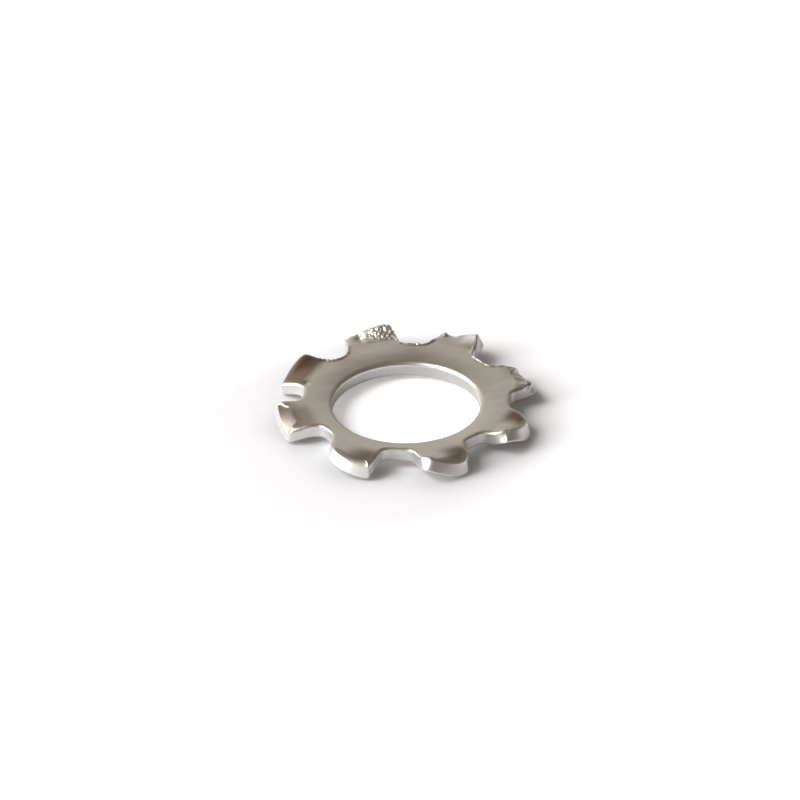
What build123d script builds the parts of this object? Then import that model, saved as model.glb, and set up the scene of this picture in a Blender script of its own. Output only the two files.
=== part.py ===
from build123d import *

import math
import os

# Toothed lock washer, external teeth, for an M8 screw.
#
# One piece of spring steel, blanked and pierced from strip, then set: a press
# lifts one corner of every tooth and pushes the other corner down, so that the
# corners bite into the nut and into the work. All teeth are set the same way.
#
# Frame: millimetres, +Z up. The origin is on the bore's axis, in the plane of
# the ring's lower face. The first tooth points along +X.

# Ring
bore_diameter = 8.4
ring_width = 1.5
thickness = 0.8

# Teeth
outer_diameter = 15.0
root_width = 3.05
tip_width = 2.7
root_fillet_radius = 0.4
tip_corner_radius = 0.45

# Set of the teeth, tooth by tooth from +X on: how far the press raised each
# clockwise corner and lowered each other one. It did so unevenly.
corner_rises = (0.5, 0.5, 0.5, 0.36, 0.34, 0.34, 0.68, 0.84)
corner_drops = (0.45, 0.45, 0.55, 0.55, 0.45, 0.45, 0.6, 0.55)

# The bore was pierced a little away from the middle of the circle of teeth
teeth_offset = 0.5
teeth_offset_angle = 68.0

# Roll-over that the punches leave round the upper edges
outline_roll_radius = 0.18
bore_roll_radius = 0.14

# Sections that carry the set surface from the bend to the tip
set_sections = 4

# How far a cutting tool runs past the sheet, and how steep a face counts as a wall
overrun = 0.5
wall_limit = 0.2

bore_radius = bore_diameter / 2
root_radius = bore_radius + ring_width
outer_radius = outer_diameter / 2
tooth_count = len(corner_rises)
pitch_angle = 360 / tooth_count
teeth_centre = Vector(teeth_offset, 0).rotate(Axis.Z, teeth_offset_angle)


def out_on_circle(radius, across):
    """How far out a circle's point lies that is so far across the tooth."""
    return math.sqrt(radius**2 - across**2)


root_out = out_on_circle(root_radius, root_width / 2)
tip_out = out_on_circle(outer_radius, tip_width / 2)
flank_taper = (root_width - tip_width) / 2 / (tip_out - root_out)

# The bend of a tooth starts where the fillets at its root have ended
bend_out = root_out + root_fillet_radius
bend_half_width = root_width / 2 - flank_taper * root_fillet_radius


def mirrored(points):
    """A closed outline, from its points on one side of the X axis."""
    other_side = [(out, -across) for out, across in reversed(points)]
    return make_face(Polyline(*points, *other_side, close=True))


def around(shapes):
    """The shapes, one for each tooth, turned to their places round the ring."""
    return [Rot(0, 0, index * pitch_angle) * shape for index, shape in enumerate(shapes)]


def ring():
    """Flat ring, with a stub for each tooth as far as its bend."""
    half_root = root_width / 2
    stub = mirrored([(0, half_root), (root_out, half_root), (bend_out, bend_half_width)])
    plan = Circle(root_radius) + around([stub] * tooth_count)
    root_corners = plan.vertices().group_by(SortBy.DISTANCE)[0]
    return extrude(fillet(root_corners, root_fillet_radius), thickness)


def tooth_plan():
    """Plan of one tooth on +X, from its bend to the arc of its tip."""
    flanks = mirrored([(bend_out, bend_half_width), (tip_out, tip_width / 2)])
    crown = Circle(outer_radius) & Pos(tip_out + outer_radius / 2, 0) * Rectangle(outer_radius, tip_width)
    plan = flanks + crown
    tip_corners = plan.vertices().group_by(Axis.X)[-1]
    return fillet(tip_corners, tip_corner_radius)


def set_section(share, rise, drop):
    """Section of the sheet across a tooth, at a share of the way from bend to tip.

    The sheet bends as a short beam does, level at the bend and steepest at the tip.
    """
    bent = share**2 * (3 - share) / 2
    out = bend_out + share * (outer_radius - bend_out)
    reach = root_width / 2 + overrun
    middle = bent * (rise - drop) / 2
    lean = bent * (rise + drop) / tip_width * reach
    corners = [
        (out, -reach, middle + lean),
        (out, reach, middle - lean),
        (out, reach, middle - lean + thickness),
        (out, -reach, middle + lean + thickness),
    ]
    return make_face(Polyline(*corners, close=True))


def set_tooth(rise, drop):
    """One tooth on +X with its corners set, trimmed by upright cuts to its plan."""
    shares = [index / (set_sections - 1) for index in range(set_sections)]
    sheet = loft([set_section(share, rise, drop) for share in shares])
    cutter = extrude(tooth_plan(), rise + drop + thickness + overrun, both=True)
    return sheet & cutter


def upper_rims(solid, on_bore):
    """Edges where the upper faces meet the cut walls, round the bore or round the outline."""
    faces = solid.faces()
    walls = [face for face in faces if abs(face.normal_at().Z) < wall_limit]
    wall_edges = {edge for face in walls for edge in face.edges()}
    tops = [face for face in faces if face.normal_at().Z > 1 - wall_limit]
    rims = {edge for face in tops for edge in face.edges()} & wall_edges
    return [edge for edge in rims if (edge.length > bore_radius) == on_bore]


teeth = around([set_tooth(rise, drop) for rise, drop in zip(corner_rises, corner_drops)])
toothed_ring = Pos(*teeth_centre) * (ring() + teeth)
pierced = toothed_ring - Cylinder(bore_radius, 2 * (thickness + overrun))
rolled_outline = pierced.fillet(outline_roll_radius, upper_rims(pierced, on_bore=False))
lock_washer = rolled_outline.fillet(bore_roll_radius, upper_rims(rolled_outline, on_bore=True))

os.makedirs("parts", exist_ok=True)
export_step(lock_washer, "parts/lock_washer.step")
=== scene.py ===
# %% [markdown]
# # A toothed lock washer in spring steel
#
# The washer is one piece: a flat ring with eight teeth, blanked from strip, pierced,
# and then set, which twists every tooth so that one corner bites up and the other
# down. The packed model gives its true size and place. Everything built here is in
# metres in that same frame, so nothing has to be fitted by eye.

# %% Load the packed model
import math

import bmesh
import bpy
import numpy as np
from mathutils import Matrix, Vector


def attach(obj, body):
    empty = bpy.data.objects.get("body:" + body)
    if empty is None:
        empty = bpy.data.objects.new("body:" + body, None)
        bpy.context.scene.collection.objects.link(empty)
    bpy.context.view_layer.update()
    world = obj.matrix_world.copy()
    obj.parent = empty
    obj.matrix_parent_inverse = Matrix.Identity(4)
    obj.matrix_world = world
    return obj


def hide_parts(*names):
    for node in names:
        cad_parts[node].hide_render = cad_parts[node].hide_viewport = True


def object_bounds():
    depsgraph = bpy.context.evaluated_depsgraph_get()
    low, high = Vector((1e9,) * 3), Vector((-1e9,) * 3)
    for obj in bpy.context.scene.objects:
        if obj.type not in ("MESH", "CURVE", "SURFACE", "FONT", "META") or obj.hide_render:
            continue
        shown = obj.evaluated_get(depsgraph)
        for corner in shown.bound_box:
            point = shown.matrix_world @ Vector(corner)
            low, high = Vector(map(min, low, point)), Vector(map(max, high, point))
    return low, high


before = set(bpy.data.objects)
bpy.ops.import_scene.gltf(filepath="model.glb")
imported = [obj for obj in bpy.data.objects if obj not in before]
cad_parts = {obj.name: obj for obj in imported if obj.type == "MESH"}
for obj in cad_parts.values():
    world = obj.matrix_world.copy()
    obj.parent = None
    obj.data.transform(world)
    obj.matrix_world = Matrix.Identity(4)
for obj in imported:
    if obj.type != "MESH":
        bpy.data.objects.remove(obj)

cad_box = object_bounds()
print("nodes:", sorted(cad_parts), "box:", [tuple(round(v, 5) for v in c) for c in cad_box])

# %% [markdown]
# ## Sizes
#
# A washer is drawn in millimetres, so the sizes stay in millimetres until the mesh
# is made. The bore was pierced a little to one side of the circle of teeth, which
# makes the ring wider on one side. Both circles keep their own centre here.

# %% Sizes of the sheet, the bore and the circle of teeth
MM = 0.001
bore_radius = 4.2
ring_radius = 5.7
sheet = 0.8
bend_out = 5.9
reach = 7.5
tooth_count = 8
offset, offset_angle = 0.5, math.radians(68)
teeth_centre = offset * np.array([math.cos(offset_angle), math.sin(offset_angle)])
print("ring width:", round(ring_radius - bore_radius, 2), "mm, sheet:", sheet, "mm")

# %% [markdown]
# ## Eight teeth that differ
#
# The press sets every tooth, but never quite alike, and wear adds its own marks. One
# could model a single tooth and copy it, and the copies would give it away. A small
# table is kept instead, with a row for each tooth. Lengths are in millimetres, and a
# tooth has a clockwise (cw) and a counterclockwise (ccw) side:
#
# - turn: degrees that the tooth is turned from its even place
# - half: half width at the tip, and root: half width at the root
# - back: how far the corner lies behind the circle, and crisp: how sharp it is in
#   plan, from 0 to 1
# - rise and drop: how far the press raised the cw corner and lowered the ccw one
# - sag: how far the middle hangs below a straight line between them
# - roll and fall: width of the rolled edge at the tip, and its depth as a share of
#   that width
# - facet: the share of the rolled edge that is worn flat, from 0 to 1
# - rake: how far the upper edge lies behind the lower one at the tip
# - torn: how far the metal is crumbled, from 0 to 1

# %% The table of teeth, from +X on
tooth_fields = (
    "turn", "cw_half", "ccw_half", "cw_root", "ccw_root",
    "cw_back", "ccw_back", "cw_crisp", "ccw_crisp",
    "rise", "drop", "sag", "roll", "fall", "facet", "rake", "torn",
)
tooth_rows = (
    (0.0, 1.35, 1.35, 1.52, 1.52, 0.10, 0.15, 0.3, 0.2, 0.38, 0.50, 0.05, 1.10, 0.50, 0.60, 0.10, 0.7),
    (0.0, 1.15, 1.35, 1.42, 1.52, 0.05, 0.10, 0.6, 0.2, 0.62, 0.42, 0.12, 0.24, 0.50, 0.00, 0.05, 0.5),
    (0.0, 1.45, 1.35, 1.52, 1.85, 0.12, 0.05, 0.3, 0.4, 0.50, 0.24, 0.00, 0.30, 0.40, 0.00, 0.00, 1.0),
    (0.0, 1.40, 1.45, 1.55, 1.62, 0.10, 0.02, 0.2, 0.6, 0.50, 0.50, 0.05, 0.45, 0.46, 0.20, 0.05, 0.0),
    (-1.6, 1.35, 1.32, 1.52, 1.50, 0.02, 0.02, 0.3, 0.2, 0.56, 0.42, 0.05, 0.78, 0.36, 1.00, 0.10, 0.0),
    (0.0, 1.30, 1.35, 1.90, 1.30, 0.35, 0.15, 0.2, 0.9, 0.36, 0.42, 0.06, 0.42, 0.44, 0.30, 0.15, 0.0),
    (0.9, 1.35, 1.30, 1.52, 1.45, 0.15, 0.20, 0.0, 0.4, 0.66, 0.50, 0.18, 0.50, 0.46, 0.20, 0.26, 0.0),
    (0.0, 1.35, 1.35, 1.52, 1.50, 0.38, 0.10, 0.9, 0.2, 0.84, 0.50, 0.26, 0.50, 0.46, 0.20, 0.26, 0.0),
)
tooth = {name: np.array(column) for name, column in zip(tooth_fields, zip(*tooth_rows))}
tooth_angle = np.radians(np.arange(tooth_count) * 360.0 / tooth_count + tooth["turn"])
print("widest rolled edge:", tooth["roll"].max(), "mm, highest corner:", tooth["rise"].max(), "mm")

# %% The floors of the gaps: radius of the one that follows each tooth
gap_radius = np.array([5.70, 5.70, 5.70, 5.88, 5.62, 5.62, 5.70, 5.86])
print("gap floors:", gap_radius.min(), "to", gap_radius.max(), "mm from the middle")

# %% [markdown]
# ## The outline
#
# The outline runs along the floor of a gap, up one flank, over the tip and down the
# other flank, eight times. Real punched corners are rounded by wear of the tool, so
# the plain path is sampled finely and then smoothed along its length, more at the
# soft corners and hardly at all at the crisp ones. That is quicker than fitting an
# arc to each corner, and it gives each corner a radius of its own.


# %% The plain path, with square corners
def turned(points, angle):
    """Points turned about the middle of the circle of teeth, and moved there."""
    c, s = math.cos(angle), math.sin(angle)
    return points @ np.array([[c, s], [-s, c]]) + teeth_centre


def arc(radius, first, last, count=24):
    """Points on a circle between two angles in radians."""
    angles = np.linspace(first, last, count)
    return np.c_[radius * np.cos(angles), radius * np.sin(angles)]


def tooth_path(index):
    """Half a gap, a flank, the tip, the other flank and half the next gap."""
    half_pitch = math.pi / tooth_count
    before, after = gap_radius[index - 1], gap_radius[index]
    cw, ccw = tooth["cw_half"][index], tooth["ccw_half"][index]
    cw_root, ccw_root = tooth["cw_root"][index], tooth["ccw_root"][index]
    tip = arc(reach, -math.asin(cw / reach), math.asin(ccw / reach), 40)
    share = np.where(tip[:, 1] < 0, tip[:, 1] / cw, tip[:, 1] / ccw)
    back = np.where(share < 0, tooth["cw_back"][index], tooth["ccw_back"][index])
    tip[:, 0] -= back * share**2
    path = [
        arc(before, -half_pitch, -math.asin(cw_root / before)),
        tip,
        arc(after, math.asin(ccw_root / after), half_pitch),
    ]
    return turned(np.vstack(path), tooth_angle[index])


plain_path = np.vstack([tooth_path(index) for index in range(tooth_count)])
print("points on the plain path:", len(plain_path))


# %% Sample it evenly
def along(path):
    """Distance along a closed path at each of its points, and its whole length."""
    steps = np.linalg.norm(np.roll(path, -1, 0) - path, axis=1)
    return np.r_[0, np.cumsum(steps)], steps.sum()


def sampled(path, places):
    """Points of a closed path at the given distances along it."""
    where, _ = along(path)
    closed = np.vstack([path, path[:1]])
    return np.c_[np.interp(places, where, closed[:, 0]), np.interp(places, where, closed[:, 1])]


fine_count = 6000
path_length = along(plain_path)[1]
fine_step = path_length / fine_count
fine_plain = sampled(plain_path, np.arange(fine_count) * fine_step)
print("length of the outline:", round(path_length, 2), "mm")


# %% Round its corners, the crisp ones least
def smoothed(values, spread, step):
    """Values round a closed path, averaged over a bell curve of that spread."""
    frequency = np.fft.rfftfreq(len(values), step)
    bell = np.exp(-2 * (math.pi * frequency * spread) ** 2)
    shape = bell[:, None] if values.ndim == 2 else bell
    return np.fft.irfft(np.fft.rfft(values, axis=0) * shape, len(values), axis=0)


soft_spread, crisp_spread = 0.30, 0.06
corner_reach = 0.7
crispness = np.zeros(fine_count)
for index in range(tooth_count):
    for sign, side in ((-1, "cw"), (1, "ccw")):
        across = sign * tooth[side + "_half"][index]
        out = math.sqrt(reach**2 - across**2) - tooth[side + "_back"][index]
        corner = turned(np.array([[out, across]]), tooth_angle[index])
        nearness = np.exp(-((np.linalg.norm(fine_plain - corner, axis=1) / corner_reach) ** 2))
        crispness = np.maximum(crispness, tooth[side + "_crisp"][index] * nearness)
soft = smoothed(fine_plain, soft_spread, fine_step)
crisp = smoothed(fine_plain, crisp_spread, fine_step)
outline_fine = soft + crispness[:, None] * (crisp - soft)
print("crispest corner:", round(float(crispness.max()), 2), "of 1")

# %% [markdown]
# ## Where a point lies on its tooth
#
# The set, the rolled edge and the wear all depend on where a point lies on its
# tooth: how far out from the middle, and how far across. One helper answers that for
# any number of points at once, with clockwise counted as negative. Another turns a
# distance into a share between 0 and 1, which is how every mark below fades out.


# %% Out and across, on the nearest tooth
def on_tooth(points):
    """Index of the nearest tooth, distance out along it, and distance across it."""
    from_middle = points - teeth_centre
    bearing = np.arctan2(from_middle[:, 1], from_middle[:, 0])
    turn = (bearing[:, None] - tooth_angle + math.pi) % (2 * math.pi) - math.pi
    index = np.abs(turn).argmin(1)
    off = turn[np.arange(len(points)), index]
    radius = np.linalg.norm(from_middle, axis=1)
    return index, radius * np.cos(off), radius * np.sin(off)


def ramp(values, low, high):
    """0 below low, 1 above high, and an even S between them."""
    share = np.clip((values - low) / (high - low), 0, 1)
    return share * share * (3 - 2 * share)


fine_index, out_fine, across_fine = on_tooth(outline_fine)
print("the outline reaches out", round(float(out_fine.max()), 2), "mm")

# %% [markdown]
# ## Places round the outline
#
# A mesh needs most points where the edge turns, and on the tips, where the wear is.
# So the places are spread by a weight that rises there, and not by equal steps,
# which would need many more points to draw the same corners.

# %% Spread the places
around_count = 1180
turn_weight, most_turning = 0.5, 3
tip_weight, tip_start = 0.8, 6.2
turning_blend = 0.1
tangent_fine = np.roll(outline_fine, -1, 0) - np.roll(outline_fine, 1, 0)
heading_fine = np.unwrap(np.arctan2(tangent_fine[:, 1], tangent_fine[:, 0]))
turning = np.abs(np.gradient(heading_fine)) / fine_step
turning[0] = turning[-1] = turning[1]
turning = np.minimum(smoothed(turning, turning_blend, fine_step), most_turning)
weight = 1 + turn_weight * turning + tip_weight * (out_fine > tip_start)
shares = np.r_[0, np.cumsum(weight)] / weight.sum()
fine_marks = np.arange(fine_count + 1) * fine_step
places = np.interp(np.arange(around_count) / around_count, shares, fine_marks)


def at_places(values):
    """Columns of values on the fine outline, read off at the chosen places."""
    closed = np.vstack([values, values[:1]])
    return np.stack([np.interp(places, fine_marks, column) for column in closed.T], 1)


print("points round the outline:", around_count)

# %% [markdown]
# ## The way in from the edge
#
# Every line of the mesh starts at the edge and runs inward, square to it. Square to
# the true outline the lines would cross near the corners, so they follow a calmer
# copy of it. The same direction tells the face of a tip from its flanks.

# %% Inward, and which stretches are tips
calm_spread = 0.42
tip_facing, tip_out = (0.45, 0.9), (6.3, 6.9)
calm = smoothed(fine_plain, calm_spread, fine_step)
calm_tangent = np.roll(calm, -1, 0) - np.roll(calm, 1, 0)
inward_fine = np.c_[-calm_tangent[:, 1], calm_tangent[:, 0]]
inward_fine /= np.linalg.norm(inward_fine, axis=1, keepdims=True)
middle_way = np.c_[np.cos(tooth_angle), np.sin(tooth_angle)][fine_index]
outward_share = -(inward_fine * middle_way).sum(1)
is_tip = ramp(outward_share, *tip_facing) * ramp(out_fine, *tip_out)
print("share of the outline on the tips:", round(float(is_tip.mean()), 2))

# %% [markdown]
# ## The rolled edge
#
# A punch drags the metal over its edge before it cuts, so the upper edge is rounded,
# and the press and the barrel widen that on the tips. A Bevel modifier would give
# one radius everywhere. Here the width and the depth are values along the outline,
# so they can change from a flank to a tip and from tooth to tooth.

# %% Width, depth and lean of the edge, along the outline
gap_roll, plain_fall = 0.24, 0.5
flank_out, rake_out = (5.9, 6.6), (6.5, 7.2)
roll_blend, rake_blend = 0.12, 0.1
flank_roll = np.array([0.32, 0.14, 0.24, 0.32, 0.30, 0.32, 0.32, 0.32])[fine_index]
roll_fine = gap_roll + (flank_roll - gap_roll) * ramp(out_fine, *flank_out)
roll_fine = roll_fine + is_tip * (tooth["roll"][fine_index] - roll_fine)
fall_fine = plain_fall + is_tip * (tooth["fall"][fine_index] - plain_fall)
facet_fine = is_tip * tooth["facet"][fine_index]
roll_fine, fall_fine, facet_fine = (
    smoothed(values, roll_blend, fine_step) for values in (roll_fine, fall_fine, facet_fine)
)
rake_fine = tooth["rake"][fine_index] * ramp(out_fine, *rake_out)
rake_fine = smoothed(rake_fine, rake_blend, fine_step)
rim_fine = outline_fine + inward_fine * rake_fine[:, None]
print("rolled edge:", round(float(roll_fine.min()), 2), "to", round(float(roll_fine.max()), 2), "mm")

# %% The same, read off at the chosen places
outline, rim = at_places(outline_fine), at_places(rim_fine)
inward = at_places(inward_fine)
inward /= np.linalg.norm(inward, axis=1, keepdims=True)
roll_width, roll_fall = at_places(np.c_[roll_fine, fall_fine]).T
roll_depth = roll_width * roll_fall
bore_roll_width, bore_roll_depth = 0.24, 0.14
print("deepest rolled edge:", round(float(roll_depth.max()), 2), "mm of", sheet, "mm")

# %% [markdown]
# ## Lines across the sheet
#
# The surface is woven like a tyre: every point of the outline has a line that
# crosses the upper face to the bore, goes down the bore's wall, comes back under the
# ring and climbs the outer wall. One could fill the flat faces with one large
# polygon each, but those can neither twist nor dish smoothly, and a woven skin can.

# %% Find the floors of the gaps
gap_fine = []
for index in range(tooth_count):
    before = tooth_angle[index - 1] - (0 if index else 2 * math.pi)
    middle = (before + tooth_angle[index]) / 2
    gap_way = np.array([math.cos(middle), math.sin(middle)])
    spot = teeth_centre + gap_radius[index - 1] * gap_way
    gap_fine.append(int(np.linalg.norm(outline_fine - spot, axis=1).argmin()))
gap_fine = np.sort(np.array(gap_fine))
print("gaps found at:", np.round(gap_fine * fine_step, 2), "mm")

# %% Where each line meets the bore
# A flank gets a larger share of the bore than a tip of the same length, so that the
# lines from both flanks lean in towards the middle of the tooth.
tip_thinning = 0.72
middle_out, middle_across = (7.0, 7.2), (-1.2, -0.9)
thinned = tip_thinning * ramp(out_fine, *middle_out) * ramp(-np.abs(across_fine), *middle_across)
share_fine = np.cumsum(1 - thinned)
share_whole = share_fine[-1]
bearing_fine = np.unwrap(np.arctan2(outline_fine[:, 1], outline_fine[:, 0]))
gap_share, gap_bearing = share_fine[gap_fine], np.unwrap(bearing_fine[gap_fine])
gap_share = np.r_[gap_share[-1] - share_whole, gap_share, gap_share[0] + share_whole]
gap_bearing = np.r_[gap_bearing[-1] - 2 * math.pi, gap_bearing, gap_bearing[0] + 2 * math.pi]
place_share = np.interp(places, fine_marks[:-1], share_fine)
bore_bearing = np.interp(place_share, gap_share, gap_bearing)
bore_way = np.c_[np.cos(bore_bearing), np.sin(bore_bearing)]
print("lines from the edge to the bore:", len(bore_way))

# %% [markdown]
# ## Rows of the upper face
#
# The rows lie close together where the punch has rolled the edge over, because that
# is where the light changes fastest, and they widen towards the bore. Near a corner
# the lines from its two sides would still cross, and the crossed faces would shade
# as streaks, so each row is evened out along its length, the inner ones more.

# %% Rows near the edge, as plan points
roll_rows, flat_rows = 9, 4
least_flat, flat_per_roll = 0.52, 1.12
flat_width = np.maximum(least_flat, roll_width * flat_per_roll)
top_plan = []
for k in range(roll_rows):
    share = 1 - math.sin(math.pi / 2 * (1 - k / (roll_rows - 1)))
    distance = roll_width * share
    top_plan.append(rim + inward * distance[:, None])
for k in range(1, flat_rows + 1):
    distance = roll_width + (flat_width - roll_width) * k / flat_rows
    top_plan.append(rim + inward * distance[:, None])
print("rows near the edge:", len(top_plan))

# %% Even them out as they go in
most_evening = 10.0
depth_in = [np.linalg.norm(plan - rim, axis=1).mean() for plan in top_plan]
top_plan = [
    smoothed(plan, most_evening * depth / depth_in[-1], 1.0)
    for plan, depth in zip(top_plan, depth_in)
]
inner_line = top_plan[-1]
print("innermost of them:", round(float(depth_in[-1]), 2), "mm from the edge")

# %% Rows over the ring and into the bore
web_rows, bore_rows = 30, 7
web_crowding = 1.5
bore_lip = bore_way * (bore_radius + bore_roll_width)
for k in range(1, web_rows + 1):
    top_plan.append(inner_line + (bore_lip - inner_line) * (k / web_rows) ** web_crowding)
for k in range(1, bore_rows):
    share = math.sin(math.pi / 2 * k / (bore_rows - 1))
    top_plan.append(bore_way * (bore_radius + bore_roll_width * (1 - share)))
print("rows on the upper face:", len(top_plan))

# %% [markdown]
# ## The set
#
# The press bends a tooth as a short beam and twists it as it does, and the ring is
# drawn down a little towards the bore. The sheet stays as thick as it was, so this
# is worked out for its middle layer, and each point is then moved up or down through
# the thickness, square to the twisted sheet. That leans the flanks with the twist,
# as on a real tooth, which lifting the points straight up would not.

# %% Height and slope of the sheet's middle layer
dish_depth, dish_width = 0.13, 1.5


def middle_layer(points):
    """Height above the flat ring, slope across and out, and the tooth's angle."""
    index, out, across = on_tooth(points)
    from_bore = (np.linalg.norm(points, axis=1) - bore_radius) / dish_width
    dish = -dish_depth * np.clip(1 - from_bore, 0, 1) ** 2
    rise, drop, sag = tooth["rise"][index], tooth["drop"][index], tooth["sag"][index]
    half = 0.5 * (tooth["cw_half"][index] + tooth["ccw_half"][index])
    length = reach - bend_out
    share = np.clip((out - bend_out) / length, 0, 1.1)
    bent = share**2 * (3 - share) / 2
    bent_slope = np.where(share > 0, (6 * share - 3 * share**2) / 2 / length, 0)
    middle, lean = (rise - drop) / 2, (rise + drop) / 2 / half
    sideways = np.clip(across / half, -1, 1)
    height = dish + bent * (middle - lean * across - sag * (1 - sideways**2))
    slope_across = bent * (2 * sag * sideways / half - lean)
    slope_out = bent_slope * (middle - lean * across)
    return height, slope_across, slope_out, tooth_angle[index]


def placed(points, level, out_share=0.2):
    """Points in space for plan points at a level in the sheet, 0 below and 1 above."""
    height, slope_across, slope_out, angle = middle_layer(points)
    lift = (level - 0.5) * sheet
    across_shift = -slope_across / np.sqrt(1 + slope_across**2) * lift
    out_shift = -slope_out * out_share * lift
    x = points[:, 0] + out_shift * np.cos(angle) - across_shift * np.sin(angle)
    y = points[:, 1] + out_shift * np.sin(angle) + across_shift * np.cos(angle)
    return np.c_[x, y, height + 0.5 * sheet + lift]


print("highest point of the upper face:", round(float(placed(rim, 1.0)[:, 2].max()), 2), "mm")

# %% [markdown]
# ## How far down the edge is rolled
#
# The rolled edge is a quarter of an ellipse, steepest at the cut. Where a tip is
# worn, a share of it is a flat facet instead, with a slightly soft crease. Both
# depend on the true distance to the edge, and not on the number of the row, so they
# stay even round the corners.


# %% Distance of any point from the edge
def nearest_rim(points, block=400):
    """Distance to the upper edge, and the index of its nearest fine point."""
    coarse = rim_fine[::3]
    index = np.empty(len(points), int)
    for start in range(0, len(points), block):
        part = points[start : start + block]
        gaps = ((part[:, None, :] - coarse[None]) ** 2).sum(2)
        index[start : start + block] = gaps.argmin(1) * 3
    best = np.full(len(points), np.inf)
    for shift in range(-3, 3):
        first = rim_fine[(index + shift) % fine_count]
        run = rim_fine[(index + shift + 1) % fine_count] - first
        share = ((points - first) * run).sum(1) / (run**2).sum(1)
        foot = first + run * np.clip(share, 0, 1)[:, None]
        best = np.minimum(best, np.linalg.norm(points - foot, axis=1))
    return best, index


depths = nearest_rim(inner_line)[0]
print("inner row lies", depths.min().round(2), "to", depths.max().round(2), "mm in")

# %% Level of the upper face there
crease_softness = 0.004
crease_foot = math.sqrt(crease_softness)
crease_whole = math.sqrt(1 + crease_softness) - crease_foot


def rolled_level(points):
    """Level of the upper face, lowered by the rolled edge: 1 is the flat face."""
    distance, index = nearest_rim(points)
    width, facet = roll_fine[index], facet_fine[index]
    left = np.clip(1 - distance / width, 0, 1)
    crease = np.sqrt(left**2 + crease_softness) - crease_foot
    fall = (1 - facet) * (1 - np.sqrt(1 - left**2)) + facet * crease / crease_whole
    return 1 - width * fall_fine[index] * fall / sheet


print("lowest level at the edge:", (1 - roll_depth / sheet).min().round(2), "of 1")

# %% The upper face, row by row: plan, level and kind
web_rows_in_reach = 21  # rows of the web that the widest rolled edge can touch
rolled_rows = roll_rows + flat_rows + web_rows_in_reach
first_bore_row = len(top_plan) - bore_rows + 1
rows = []
for number, plan in enumerate(top_plan):
    level = rolled_level(plan) if number < rolled_rows else np.ones(around_count)
    if number == 0:
        level = 1 - roll_depth / sheet
    if number >= first_bore_row:
        share = math.sin(math.pi / 2 * (number - first_bore_row + 1) / (bore_rows - 1))
        level = level - bore_roll_depth / sheet * (1 - math.sqrt(max(0, 1 - share**2)))
    rows.append((plan, level, "top"))
print("rows so far:", len(rows))

# %% [markdown]
# ## The walls and the underside
#
# The cut walls are upright apart from the rake of the tips, and the underside is
# flat, with a small round at its edges. They need far fewer rows than the upper
# face. The walls start a little above the underside, so that this round stays small.

# %% Down the bore and back under the ring
bottom = np.zeros(around_count)
bore_levels = (0.68, 0.52, 0.36, 0.2, 0.08)
bore_foot, bore_under = 0.02, 0.06
for level in bore_levels:
    rows.append((bore_way * bore_radius, bottom + level, "bore"))
rows.append((bore_way * (bore_radius + bore_foot), bottom + bore_foot, "bore"))
under_rows = 11
under_start = bore_way * (bore_radius + bore_under)
for k in range(under_rows + 1):
    rows.append((under_start + (inner_line - under_start) * (k / under_rows), bottom, "under"))
under_edges = (0.26, 0.14)
for distance in under_edges:
    rows.append((outline + inward * distance, bottom, "under"))
print("rows so far:", len(rows))

# %% Round the lower edge and up the outer wall
edge_round = 0.07
edge_steps = ((1.0, 0.005, "under"), (0.3, 0.03, "wall"))
wall_foot = 0.1
wall_top = 1 - roll_depth / sheet
wall_shares = (0.0, 0.14, 0.3, 0.46, 0.62, 0.76, 0.88, 0.96)
for share, level, name in edge_steps:
    rows.append((outline + inward * edge_round * share, bottom + level, name))
for share in wall_shares:
    plan = outline + (rim - outline) * (wall_foot + (1 - wall_foot) * share)
    rows.append((plan, wall_foot + share * (wall_top - wall_foot), "wall"))
points = np.vstack([placed(plan, level) for plan, level, _ in rows])
row_count = len(rows)
print("rows round the section:", row_count, "points:", len(points))

# %% [markdown]
# ## Uneven metal
#
# Torn and tumbled metal is irregular at a known scale. A noise texture on a Displace
# modifier could do it, but a sum of plane waves with random directions is smooth
# everywhere, takes a few lines, and gives the same washer on every run from one seed.

# %% A field of ripples
ripple_seed = 20
rng = np.random.default_rng(ripple_seed)


def ripples(points, wavelength, count=28):
    """A smooth random field of about unit size, with waves near one length in mm."""
    heading = rng.normal(size=(count, points.shape[1]))
    heading /= np.linalg.norm(heading, axis=1, keepdims=True)
    number = 1 / (wavelength * rng.uniform(0.7, 1.5, count))
    phase = rng.uniform(0, 2 * math.pi, count)
    waves = np.cos(2 * math.pi * points @ (heading * number[:, None]).T + phase)
    return waves.sum(1) / math.sqrt(count / 2)


crumble_wave, grit_wave, barrel_wave = 0.26, 0.13, 0.9
crumble = ripples(points, crumble_wave)
grit = ripples(points, grit_wave)
barrel = ripples(points, barrel_wave)
print("spread of the ripples:", [round(float(field.std()), 2) for field in (crumble, grit, barrel)])

# %% [markdown]
# ## Torn teeth
#
# Three teeth were torn as they were set, and their ends and lobes are crumbled, with
# small bright facets. A bump texture would only shade this, and the edge of the
# tooth would stay smooth, so the points themselves are moved, square to the surface.
# The rest of the metal gets ripples of a thousandth or two of a millimetre, which
# are what the tumbling barrel leaves.

# %% Where the metal is torn, from 0 to 1
# which row of the table each of the three torn teeth is
battered_end, torn_side, torn_lobe = 0, 1, 2
plan_all = np.vstack([plan for plan, _, _ in rows])
level_all = np.hstack([level for _, level, _ in rows])
index_all, out_all, across_all = on_tooth(plan_all)
edge_all, _ = nearest_rim(plan_all)
torn_out, torn_edge, torn_level = (6.1, 6.9), (-0.9, -0.3), (0.3, 0.8)
torn = tooth["torn"][index_all] * ramp(out_all, *torn_out) * ramp(level_all, *torn_level)
torn = torn * ramp(-edge_all, *torn_edge)
print("torn points before the exceptions:", int((torn > 0.2).sum()))

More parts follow.
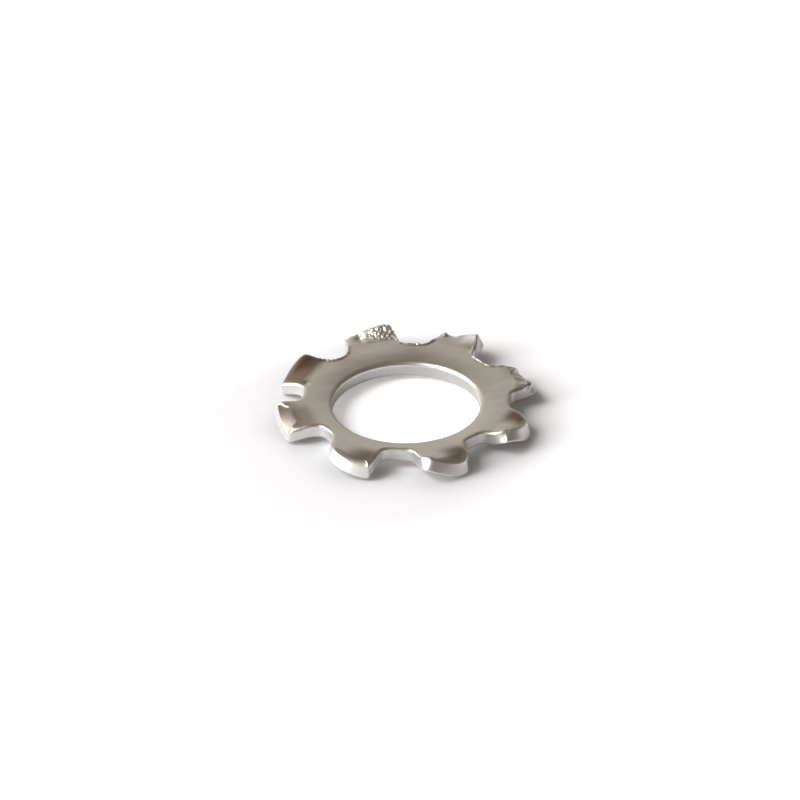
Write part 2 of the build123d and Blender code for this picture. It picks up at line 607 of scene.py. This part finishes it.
# %% One tooth is torn along a lobe and its edge, one on one side alone
lobe_across, lobe_out = (-0.7, -0.35), (5.95, 6.4)
strip_edge, strip_out, strip_share = (-0.55, -0.2), (5.9, 6.4), 0.8
side_across, upper_level = (-0.1, 0.6), (0.2, 0.7)
lobe = ramp(-across_all, *lobe_across) * ramp(out_all, *lobe_out)
edge_strip = strip_share * ramp(-edge_all, *strip_edge)
lobe_and_strip = np.maximum(lobe, edge_strip) * ramp(out_all, *strip_out)
torn = np.where(index_all == torn_lobe, lobe_and_strip, torn)
one_side = np.where(index_all == torn_side, ramp(across_all, *side_across), 1.0)
torn *= one_side * ramp(level_all, *upper_level)
print("torn points:", int((torn > 0.2).sum()))

# %% Move the points, square to the surface
crumble_height, grit_height, barrel_height = 0.019, 0.008, 0.0015
grid = points.reshape(row_count, around_count, 3)
ahead = np.roll(grid, -1, 1) - np.roll(grid, 1, 1)
beside = np.roll(grid, -1, 0) - np.roll(grid, 1, 0)
normal = np.cross(beside, ahead).reshape(-1, 3)
normal /= np.maximum(np.linalg.norm(normal, axis=1, keepdims=True), 1e-9)
swell = torn * (crumble_height * crumble + grit_height * grit) + barrel_height * barrel
points = points + normal * swell[:, None]
print("largest move:", round(float(np.abs(swell).max()), 3), "mm")

# %% [markdown]
# ## Burrs and knocks
#
# The punch threw up a thin burr along the floors of the gaps on one side, and knocks
# raised lumps and left dents on the teeth. Each is a soft hill or hollow added to
# the height. A short table of them is easier to change than sculpted points.

# %% The burr
burr_height, burr_distance, burr_width = 0.07, 0.13, 0.09
burr_unevenness, burr_angle = 0.35, math.radians(72)
burr_arc, burr_out, burr_level = (0.30, 0.65), (-6.5, -6.1), 0.6
burr_way = np.array([math.cos(burr_angle), math.sin(burr_angle)])
burr_side = ramp(plan_all @ burr_way / np.linalg.norm(plan_all, axis=1), *burr_arc)
ridge = np.exp(-(((edge_all - burr_distance) / burr_width) ** 2))
burr = burr_side * ramp(-out_all, *burr_out) * ridge * (level_all > burr_level)
points[:, 2] += burr_height * (1 + burr_unevenness * crumble) * burr
print("points on the burr:", int((burr > 0.5).sum()))

# %% The knocks
# tooth, out, across, size and height of each lump (above 0) or dent (below 0)
knocks = (
    (1, 7.10, 1.05, 0.26, 0.22),
    (1, 7.20, 0.45, 0.25, -0.10),
    (2, 6.80, 0.55, 0.32, -0.16),
    (2, 7.15, 0.45, 0.26, -0.10),
    (2, 7.10, -0.60, 0.50, 0.08),
    (3, 5.75, 1.30, 0.18, -0.08),
    (0, 6.95, 0.45, 0.20, 0.10),
    (0, 6.75, -0.10, 0.16, 0.06),
)
knock_level = (0.1, 0.7)
for number, out, across, size, height in knocks:
    away = np.hypot(out_all - out, across_all - across) / size
    here = (index_all == number) * np.exp(-(away**2)) * ramp(level_all, *knock_level)
    points[:, 2] += height * here
print("lumps and dents:", len(knocks))

# %% Keep inside the true size
spare = 0.002
low = np.array(cad_box[0]) / MM
high = np.array(cad_box[1]) / MM
points = np.clip(points, low + spare, high - spare)
print("mesh box:", points.min(0).round(3), points.max(0).round(3))

# %% [markdown]
# ## The mesh
#
# The rows join round the section and round the ring, so the skin closes on itself
# with four-sided faces and no seam. It stands for the packed model's one node, and
# rides on its one body.


# %% Make the mesh and hang it on its body
def woven(name, points, row_count, around_count):
    """A closed mesh from rows of points that join round the section and round the ring."""
    r, a = np.meshgrid(np.arange(row_count), np.arange(around_count), indexing="ij")
    r2, a2 = (r + 1) % row_count, (a + 1) % around_count
    corners = [(r, a), (r, a2), (r2, a2), (r2, a)]
    quads = np.stack([row * around_count + column for row, column in corners], -1)
    mesh = bpy.data.meshes.new(name)
    mesh.from_pydata((points * MM).tolist(), [], quads.reshape(-1, 4).tolist())
    mesh.shade_smooth()
    mesh.update()
    piece = bpy.data.objects.new(name, mesh)
    bpy.context.scene.collection.objects.link(piece)
    return piece


washer = woven("washer", points, row_count, around_count)
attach(washer, "root")
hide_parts("lock_washer")
print("faces of the washer:", len(washer.data.polygons))

# %% Turn the faces outward
skin_check = bmesh.new()
skin_check.from_mesh(washer.data)
volume = skin_check.calc_volume(signed=True) / MM**3
if volume < 0:
    bmesh.ops.reverse_faces(skin_check, faces=skin_check.faces)
    skin_check.to_mesh(washer.data)
skin_check.free()
print("volume:", round(abs(volume), 2), "cubic mm")

# %% [markdown]
# ## What each point is
#
# The steel looks different on the upper face, on the cut walls, in the bends and
# where it is torn. Painting an image would need a flat layout of the surface, and
# the rows already know what each point is, so the mesh carries a number at each
# point for each kind of finish, and the material reads those.

# %% Cut walls
kind = np.repeat([name for _, _, name in rows], around_count)
cut = (kind == "bore") | (kind == "wall")
upper_half = level_all > 0.5
print("points on the cut walls:", int(cut.sum()))

# %% Places that wear dulled or polished, and painted shade on one end and one flank
# Painted shade: the end of the battered tooth is partly worn dull and partly darkened as shade on its
# cw side.
end_slant, end_side, end_out = 0.5, 0.6, (6.25, 6.45)
end_reach = out_all + end_slant * np.maximum(-across_all - end_side, 0)
dull_and_shaded_end = (index_all == battered_end) * ramp(end_reach, *end_out)
# Painted shade: the cw flank of the torn-side tooth is darkened as a flank in shade.
flank_shade_share, flank_shade_across, flank_shade_out = 0.8, (0.85, 1.1), (5.9, 6.2)
shaded_flank = (index_all == torn_side) * flank_shade_share * ramp(-across_all, *flank_shade_across)
shaded_flank = shaded_flank * ramp(out_all, *flank_shade_out)
rubbed_across, rubbed_out, torn_shine = (0.0, 0.5), (6.2, 6.7), 0.35
rubbed = (index_all == torn_side) * ramp(-across_all, *rubbed_across)
rubbed = rubbed * ramp(out_all, *rubbed_out)
rubbed = np.maximum(rubbed, torn_shine * torn * (index_all == torn_lobe)) * upper_half
print("dulled points:", int(((dull_and_shaded_end > 0.5) | (shaded_flank > 0.5)).sum()))

# %% [markdown]
# ## Where the brown skin and painted shade lie
#
# Hardening leaves a thin brown skin. It stays where the barrel cannot rub: in the
# bends and thinly on one worn facet. The same brown also paints shade where the
# leaning faces reflect the dim room: it is laid deeper on the lowered side of each
# tooth, and the two patches on the ring are painted shade alone. Each tooth keeps
# its own amount of it, so it has a small table too, with one number for each tooth.

# %% The skin and painted shade in the bends
# The brown in the bends is partly skin and partly painted shade, deepest on the lowered side of each
# tooth.
skin_and_shade_amount = np.array([0.35, 0.3, 0.25, 1.3, 0.72, 0.72, 0.68, 1.15])[index_all]
skin_and_shade_side = np.array([-0.5, -0.5, -0.5, -2.5, -1.3, -0.5, -0.5, -0.5])[index_all]
skin_and_shade_start = np.array([5.6, 5.6, 5.6, 5.6, 5.3, 5.6, 5.6, 5.6])[index_all]
skin_and_shade_edge = np.array([0.10, 0.10, 0.10, -0.05, 0.10, 0.10, 0.10, 0.10])[index_all]
flat_face = level_all > 0.9
grows_across, grows_out, grows_in = (0, 1.2), (0, 0.7), (0, 0.3)
skin_and_shade = skin_and_shade_amount * ramp(across_all - skin_and_shade_side, *grows_across)
skin_and_shade = skin_and_shade * ramp(out_all - skin_and_shade_start, *grows_out)
skin_and_shade *= ramp(edge_all - skin_and_shade_edge, *grows_in) * flat_face
print("points with skin in the bends:", int((skin_and_shade > 0.1).sum()))

# %% Painted shade on the ring, and the skin on the worn facet
# x, y, size and strength of each patch of painted shade on the ring
shade_patches = ((2.05, 4.89, 1.2, 0.30), (-2.03, 5.48, 0.6, 0.35))
patch_edge = (0.05, 0.3)
for x, y, size, strength in shade_patches:
    spot = np.exp(-(((plan_all - [x, y]) ** 2).sum(1) / size**2))
    patch = spot * flat_face * ramp(edge_all, *patch_edge)
    skin_and_shade = np.maximum(skin_and_shade, strength * patch)
worn_facet = 4
facet_out, facet_edge, facet_across = (6.3, 6.7), (-0.8, -0.7), (-0.6, 0.9)
thin_skin, thicker = 0.22, 0.40
on_facet = (index_all == worn_facet) * upper_half
on_facet = on_facet * ramp(out_all, *facet_out) * ramp(-edge_all, *facet_edge)
facet_skin = thin_skin + thicker * ramp(across_all, *facet_across)
skin_and_shade = np.where(on_facet > 0.5, facet_skin, skin_and_shade)
print("points with skin:", int((skin_and_shade > 0.1).sum()))

# %% Write them on the mesh
fields = {
    "wall": cut,
    "level": np.clip(level_all, 0, 1),
    "torn": torn,
    "skin_and_shade": skin_and_shade,
    "bore": kind == "bore",
    "rubbed": rubbed,
    "dull_and_shade": np.maximum(dull_and_shaded_end, shaded_flank),
}
for name, values in fields.items():
    layer = washer.data.attributes.new(name, "FLOAT", "POINT")
    layer.data.foreach_set("value", values.astype(np.float32))
print("fields:", sorted(fields))

# %% [markdown]
# ## Shader maths as plain expressions
#
# A finish is a sum of masks. Wrapping a socket in a small class lets the maths read
# as it is thought, and each expression adds its own Math nodes. Every other node
# comes from one helper, so that a finish is a few lines and not a page of links.


# %% A socket that can be added, multiplied and mixed
class Field:
    """A shader socket whose plain arithmetic makes Math nodes."""

    def __init__(self, tree, socket):
        self.tree, self.socket = tree, socket

    def maths(self, operation, *others):
        return node(self.tree, "ShaderNodeMath", {"operation": operation}, *others)

    def __add__(self, other):
        return self.maths("ADD", self, other)

    def __sub__(self, other):
        return self.maths("SUBTRACT", self, other)

    def __rsub__(self, other):
        return self.maths("SUBTRACT", other, self)

    def __mul__(self, other):
        return self.maths("MULTIPLY", self, other)

    def __pow__(self, other):
        return self.maths("POWER", self, other)

    __radd__, __rmul__ = __add__, __mul__

    def between(self, low, high):
        """0 below low, 1 above high, and an even S between them."""
        settings = {"interpolation_type": "SMOOTHSTEP"}
        return node(self.tree, "ShaderNodeMapRange", settings, Value=self, From_Min=low, From_Max=high)


print("Field:", Field.__doc__)


# %% Nodes, blends and empty trees
def node(tree, kind, settings=None, *values, take=0, **named):
    """Adds a node: its settings first, then the values or links of its sockets."""
    made = tree.nodes.new(kind)
    for key, value in (settings or {}).items():
        setattr(made, key, value)
    open_sockets = [s for s in made.inputs if not s.is_unavailable]
    by_name = {s.name.replace(" ", "_"): s for s in reversed(open_sockets)}
    for socket, value in [*zip(open_sockets, values), *((by_name[k], v) for k, v in named.items())]:
        if isinstance(value, Field):
            tree.links.new(value.socket, socket)
        else:
            socket.default_value = value
    if isinstance(take, str):
        return Field(tree, made.outputs[take])
    outputs = [s for s in made.outputs if not s.is_unavailable]
    return Field(tree, outputs[take]) if outputs else None


def blend(tree, share, one, other):
    """One colour at share 0, the other at 1."""
    return node(tree, "ShaderNodeMix", {"data_type": "RGBA"}, Factor=share, A=one, B=other)


def emptied(owner):
    """The node tree of a new material or world, with nothing in it."""
    owner.use_nodes = True
    owner.node_tree.nodes.clear()
    return owner.node_tree


print("helpers: node, blend, emptied")

# %% [markdown]
# ## The finish of the steel
#
# The tumbling barrel rubs the brown skin off the flats and leaves some in the bends,
# so the flats are a warm satin grey and the bends are browner. That brown is partly
# painted shade: it lies deeper on the lowered sides of the teeth, and two patches of
# it on the far side of the ring are painted shade alone. The cut walls are brighter,
# burnished near the top and rough below where the sheet broke, and painted shade
# darkens the wall of the bore. The torn lobes glitter, one end is worn dull and
# partly darkened by painted shade, one flank is darkened by painted shade, and one
# corner is rubbed bright. One material blends all of these, because separate
# materials would meet in hard borders that real wear doesn't have.

# %% What the steel reads from the mesh, and its grain
steel = bpy.data.materials.new("spring_steel_tumbled")
tree = emptied(steel)


def attribute(name):
    """A number that the mesh carries at each point."""
    return node(tree, "ShaderNodeAttribute", {"attribute_name": name}, take="Fac")


place = node(tree, "ShaderNodeTexCoord", take="Object")


def cloud(scale, detail=2.0):
    """Noise between 0 and 1 with features of about 1/scale metres."""
    sockets = {"Vector": place, "Scale": scale, "Detail": detail, "Roughness": 0.55}
    return node(tree, "ShaderNodeTexNoise", {}, **sockets)


wall, level, torn_here = attribute("wall"), attribute("level"), attribute("torn")
mottle, speck, fine_grain = cloud(700.0, detail=3.0), cloud(6000.0), cloud(14000.0)
print("steel nodes so far:", len(tree.nodes))

# %% Its colour
clean_steel = (0.66, 0.635, 0.575, 1.0)
skin_and_shade_brown = (0.29, 0.215, 0.15, 1.0)
rubbed_steel = (0.86, 0.85, 0.82, 1.0)
cut_steel = (0.68, 0.675, 0.67, 1.0)
shaded_bore_steel = (0.42, 0.41, 0.40, 1.0)
dull_and_shaded_steel = (0.36, 0.35, 0.34, 1.0)
torn_steel = (0.82, 0.82, 0.80, 1.0)
# The brown blended in here is partly skin and partly painted shade.
skin_and_shade_here = (attribute("skin_and_shade") * 0.85 + 0.06 * mottle.between(0.45, 0.7)) * (1 - wall)
colour = blend(tree, skin_and_shade_here, clean_steel, skin_and_shade_brown)
colour = blend(tree, attribute("rubbed"), colour, rubbed_steel)
colour = blend(tree, wall * 0.8, colour, cut_steel)
# Painted shade: the bore's wall is darkened, as it reflects the shaded paper inside the hole.
colour = blend(tree, attribute("bore") * 0.8, colour, shaded_bore_steel)
# Partly worn dull metal and partly painted shade on one end and one flank.
colour = blend(tree, attribute("dull_and_shade") * 0.75, colour, dull_and_shaded_steel)
colour = blend(tree, torn_here * speck.between(0.5, 0.6) * 0.8, colour, torn_steel)
print("steel nodes so far:", len(tree.nodes))

# %% Its roughness and grain
satin, broken = 0.33, 0.12
facet_height, grain_depth, grain_strength = 6.0, 0.00002, 0.25
roughness = satin + 0.04 * mottle + broken * wall * (1 - level) + 0.05 * speck
facets = torn_here * cloud(9000.0) * facet_height
height = speck * 0.5 + fine_grain * 0.3 + mottle * 0.2 + facets
grain = {"Strength": grain_strength, "Distance": grain_depth, "Height": height}
bump = node(tree, "ShaderNodeBump", {}, **grain)
sockets = {"Base_Color": colour, "Metallic": 1.0, "Roughness": roughness, "Normal": bump}
surface = node(tree, "ShaderNodeBsdfPrincipled", {}, **sockets)
node(tree, "ShaderNodeOutputMaterial", {}, Surface=surface)
washer.data.materials.append(steel)
print("steel nodes:", len(tree.nodes))

# %% [markdown]
# ## The floor
#
# The washer stands on its lowered corners on a plain white table, at the height of
# the packed model's lowest point. A small object darkens white paper on all sides,
# which the shadow of one lamp doesn't show. So the paper's colour sinks a little
# where the sky above it is covered, and again in a wide soft patch round the washer.
# Inside the bore the paper gets painted light: a glow for the camera that lifts its shade.

# %% A table at the packed model's lowest point
floor_level = cad_box[0].z
side = 1.5
corners = [(-side, -side), (side, -side), (side, side), (-side, side)]
floor_mesh = bpy.data.meshes.new("floor")
floor_mesh.from_pydata([(x, y, floor_level) for x, y in corners], [], [(0, 1, 2, 3)])
floor = bpy.data.objects.new("floor", floor_mesh)
bpy.context.scene.collection.objects.link(floor)
print("floor at", round(floor_level / MM, 3), "mm")

# %% How sheltered the paper is
paper = bpy.data.materials.new("paper")
tree = emptied(paper)


def distance_from(x, y):
    """Distance over the floor, in metres, from a point given in the frame."""
    here, spot = node(tree, "ShaderNodeTexCoord", take="Object"), (x, y, floor_level)
    return node(tree, "ShaderNodeVectorMath", {"operation": "DISTANCE"}, here, spot, take="Value")


contact_shade, patch_shade, cover_reach, cover_power = 0.28, 0.18, 0.005, 6.0
past_bore, past_teeth, patch_fade = (0.0044, 0.0056), (0.0050, 0.0060), (0.0080, 0.0130)
patch_spot = (-0.0036, -0.0012)
open_sky = node(
    tree, "ShaderNodeAmbientOcclusion", {"samples": 8}, Distance=cover_reach, take="AO"
)
from_middle, from_patch = distance_from(0.0, 0.0), distance_from(*patch_spot)
near_washer = contact_shade * from_middle.between(*past_bore) * (1 - open_sky**cover_power)
in_patch = patch_shade * from_middle.between(*past_teeth) * (1 - from_patch.between(*patch_fade))
shelter = (1.0 - near_washer) * (1.0 - in_patch)
print("paper nodes so far:", len(tree.nodes))

# %% The paper itself
black, glow_white = (0.0, 0.0, 0.0, 1.0), (1.0, 1.0, 1.0, 1.0)
paper_white = (0.865, 0.868, 0.895, 1.0)
# The hole glow is painted light: it lifts the shade on the paper inside the bore.
plain_glow, hole_glow = 0.07, 0.22
hole_spot, hole_fade = (0.00036, 0.00114), (0.0039, 0.0046)
seen = node(tree, "ShaderNodeLightPath", take="Is Camera Ray")
mirrored = node(tree, "ShaderNodeLightPath", take="Is Glossy Ray")
in_hole = 1.0 - distance_from(*hole_spot).between(*hole_fade)
matte = node(tree, "ShaderNodeBsdfDiffuse", {}, Color=blend(tree, shelter, black, paper_white))
glow_amount = (seen + mirrored) * shelter * plain_glow + seen * in_hole * hole_glow
glow = node(tree, "ShaderNodeEmission", {}, Color=glow_white, Strength=glow_amount)
both = node(tree, "ShaderNodeAddShader", {}, matte, glow)
node(tree, "ShaderNodeOutputMaterial", {}, Surface=both)
floor.data.materials.append(paper)
print("paper nodes:", len(tree.nodes))

# %% [markdown]
# ## Light
#
# Bare metal shows what stands round it, so the room matters more than the lamps. It
# is a tent: a pale wall stands low behind the washer, brightest some way up, with a
# brighter screen at the left. Overhead it is dim and warm, which gives the flats
# their colour. Two soft lamps at the left light the floor and pick out the walls of
# the teeth. A ready-made studio picture would do the same with less control.

# %% Directions, as they are seen from the camera's side
view_turn = math.radians(17.7)


def facing(azimuth, elevation):
    """A direction in the frame, for an azimuth counted from the right of the view."""
    a, e = math.radians(azimuth) - view_turn, math.radians(elevation)
    return Vector((math.cos(a) * math.cos(e), math.sin(a) * math.cos(e), math.sin(e)))


print("right of the view:", [round(v, 3) for v in facing(0, 0)])

# %% The tent
world = bpy.data.worlds.new("tent")
bpy.context.scene.world = world
tree = emptied(world)
heading = node(tree, "ShaderNodeTexCoord", take="Generated")


def towards(direction):
    """How squarely a direction faces another, from -1 to 1."""
    settings, other = {"operation": "DOT_PRODUCT"}, tuple(direction)
    return node(tree, "ShaderNodeVectorMath", settings, heading, other, take="Value")


wall_glow, screen_glow, fill_glow, roof_glow = 0.95, 1.3, 0.05, 0.16
roof_warm, cloth_white = (1.0, 0.80, 0.64, 1.0), (1.0, 0.99, 0.98, 1.0)
upward = towards((0, 0, 1))
low_band = 1 - upward.between(0.52, 0.64)
wall_rise = 0.3 + 0.7 * upward.between(0.25, 0.53)
behind = towards(facing(azimuth=138, elevation=0)).between(-0.15, 0.85)
left = towards(facing(azimuth=195, elevation=25)).between(0.60, 0.88)
bright = wall_glow * low_band * behind * wall_rise + screen_glow * left + fill_glow * low_band
roof = node(tree, "ShaderNodeBackground", {}, Color=roof_warm, Strength=roof_glow)
cloth = node(tree, "ShaderNodeBackground", {}, Color=cloth_white, Strength=bright)
node(tree, "ShaderNodeOutputWorld", {}, Surface=node(tree, "ShaderNodeAddShader", {}, roof, cloth))
print("tent nodes:", len(tree.nodes))


# %% The lamps
def soft_lamp(name, azimuth, elevation, distance, size, power):
    """A square lamp that looks at the washer from that side."""
    lamp = bpy.data.lights.new(name, "AREA")
    lamp.size, lamp.energy = size, power
    holder = bpy.data.objects.new(name, lamp)
    back = facing(azimuth, elevation)
    holder.location = back * distance
    holder.rotation_mode = "QUATERNION"
    holder.rotation_quaternion = back.to_track_quat("Z", "Y")
    bpy.context.scene.collection.objects.link(holder)


soft_lamp("key", azimuth=190, elevation=45, distance=0.6, size=0.30, power=2.8)
soft_lamp("side", azimuth=200, elevation=14, distance=0.5, size=0.25, power=3.0)

# %% [markdown]
# ## The camera
#
# A long lens from a third of a metre keeps the circle of the bore an even ellipse,
# which a close, wide lens would not. The camera leans by less than a degree and aims
# a few pixels off the middle, so that its lens needs no shift.

# %% Which way the camera looks
elevation, distance, frame_width = 32.04, 0.3, 0.04522
roll = math.radians(0.7)
back, right = facing(-90, elevation), facing(0, 0)
up = back.cross(right)
turned_right = right * math.cos(roll) - up * math.sin(roll)
turned_up = right * math.sin(roll) + up * math.cos(roll)
print("up in the picture:", [round(v, 3) for v in turned_up])

# %% Camera
picture_width, pixels_left, pixels_up = 800, 6.0, 0.2
pixel = frame_width / picture_width
upper_face = Vector((0, 0, sheet * MM))
aim = upper_face - turned_right * pixels_left * pixel + turned_up * pixels_up * pixel
camera_data = bpy.data.cameras.new("camera")
camera_data.sensor_width = 36.0
camera_data.lens = camera_data.sensor_width * distance / frame_width
camera_data.clip_start, camera_data.clip_end = 0.01, 10.0
camera = bpy.data.objects.new("camera", camera_data)
bpy.context.scene.collection.objects.link(camera)
axes = Matrix((turned_right, turned_up, back)).transposed().to_4x4()
camera.matrix_world = Matrix.Translation(aim + back * distance) @ axes
bpy.context.scene.camera = camera
bpy.context.scene.view_settings.view_transform = "Standard"
print("lens:", round(camera_data.lens, 1), "mm")
